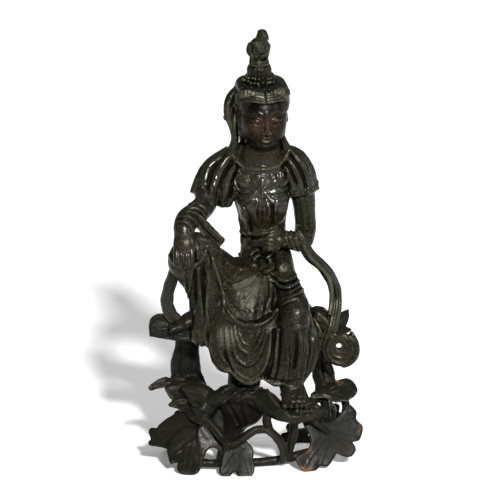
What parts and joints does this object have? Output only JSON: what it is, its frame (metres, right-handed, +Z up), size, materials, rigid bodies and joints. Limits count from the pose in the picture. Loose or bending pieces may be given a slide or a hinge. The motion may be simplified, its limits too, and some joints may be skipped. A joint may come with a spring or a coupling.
{
  "type": "guanyin figure on a wood stand",
  "caption": "Cast bronze Guanyin seated at royal ease, one knee raised and one foot hanging, on an openwork stand of carved wood with a leaf-shaped seat, vines, root and leaves.",
  "frame": {"origin": "on the table, under the middle of the whole piece's outline", "axes": "+Z up, the figure faces -Y, and its raised knee is on the -X side"},
  "size_m": [0.1498, 0.0968, 0.3103],
  "materials": {
    "bronze": "dark brown patina, softly polished on the raised parts",
    "dark_wood": "black-brown stain and wax, worn to brown on the edges"
  },
  "bodies": {
    "root": {"guanyin_figure": "bronze", "leaf_stand": "dark_wood"}
  },
  "joints": []
}
